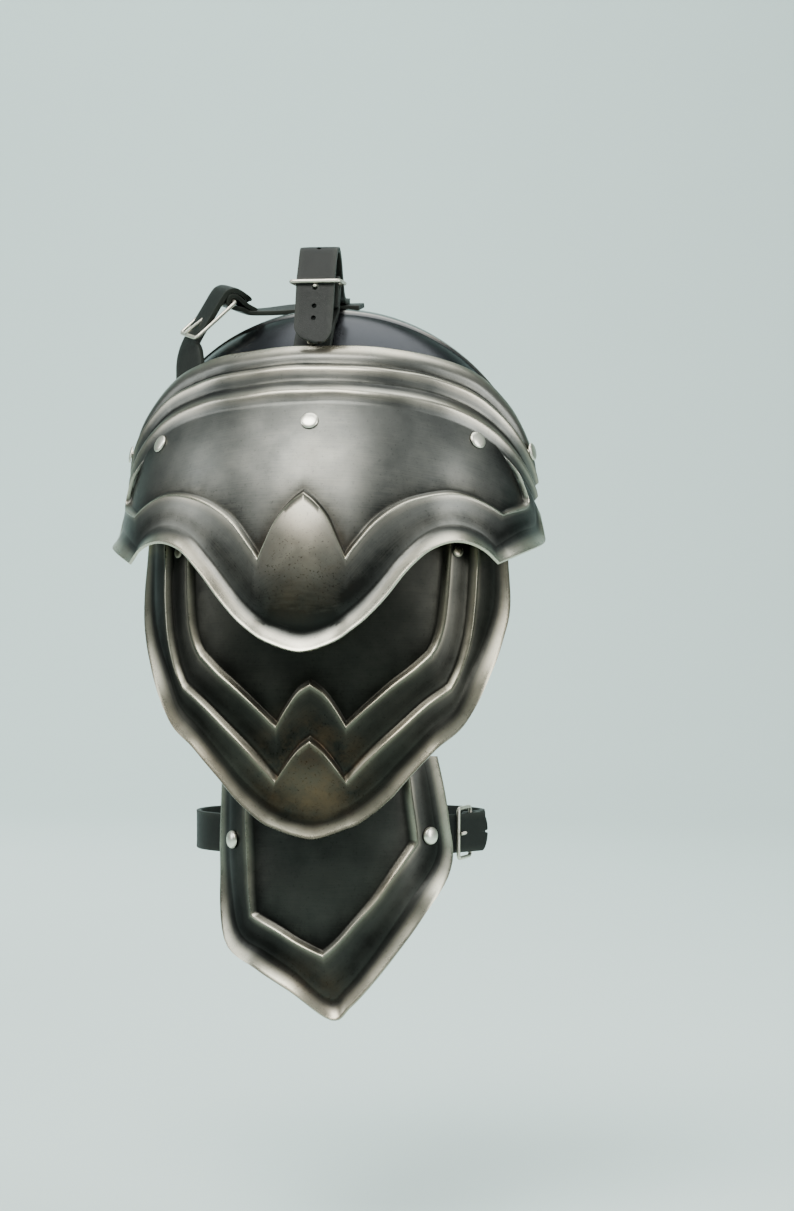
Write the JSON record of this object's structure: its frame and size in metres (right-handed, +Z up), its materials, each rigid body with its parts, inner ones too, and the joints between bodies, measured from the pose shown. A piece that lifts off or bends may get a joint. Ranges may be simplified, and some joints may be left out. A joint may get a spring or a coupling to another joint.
{
  "type": "pauldron",
  "caption": "Articulated steel shoulder plate for the right shoulder, with fluted and bordered plates, lames, leather straps, wire buckles and an arm loop.",
  "frame": {"origin": "on top of the shoulder, under the middle of the top plate", "axes": "+X to the wearer's front, -Y outwards from the right shoulder, +Y towards the neck, +Z up"},
  "size_m": [0.2278, 0.1596, 0.3943],
  "materials": {
    "plate_steel": "darkened in the hollows, polished on ridges and lips",
    "top_steel": "dark, polished",
    "nickel": "polished, lightly worn",
    "dark_rivet": "dark satin",
    "strap_leather": "black, satin, lightly worn",
    "inner_leather": "brown, matt"
  },
  "bodies": {
    "root": {"main_plate": "plate_steel", "upper_lame": "plate_steel", "lower_lame": "plate_steel", "top_plate": "top_steel", "centre_buckle": "nickel", "centre_prong": "nickel", "back_buckle": "nickel", "back_prong": "nickel", "arm_buckle": "nickel", "arm_prong": "nickel", "main_plate_rivet_back": "nickel", "main_plate_rivet_middle": "nickel", "main_plate_rivet_front": "nickel", "side_rivet_back": "nickel", "side_rivet_front": "nickel", "arm_rivet_back": "nickel", "arm_rivet_front": "nickel", "upper_lame_rivet_back": "dark_rivet", "upper_lame_rivet_middle": "dark_rivet", "upper_lame_rivet_front": "dark_rivet", "lower_lame_rivet_back": "dark_rivet", "lower_lame_rivet_middle": "dark_rivet", "lower_lame_rivet_front": "dark_rivet", "centre_holder_rivet": "dark_rivet", "back_holder_rivet": "dark_rivet", "centre_strap_rivet": "dark_rivet", "centre_strap": "strap_leather", "centre_buckle_strap": "strap_leather", "back_strap": "strap_leather", "neck_strap": "strap_leather", "arm_buckle_strap": "strap_leather", "arm_strap": "strap_leather", "leather_back": "inner_leather", "leather_middle": "inner_leather", "leather_front": "inner_leather"}
  },
  "joints": []
}
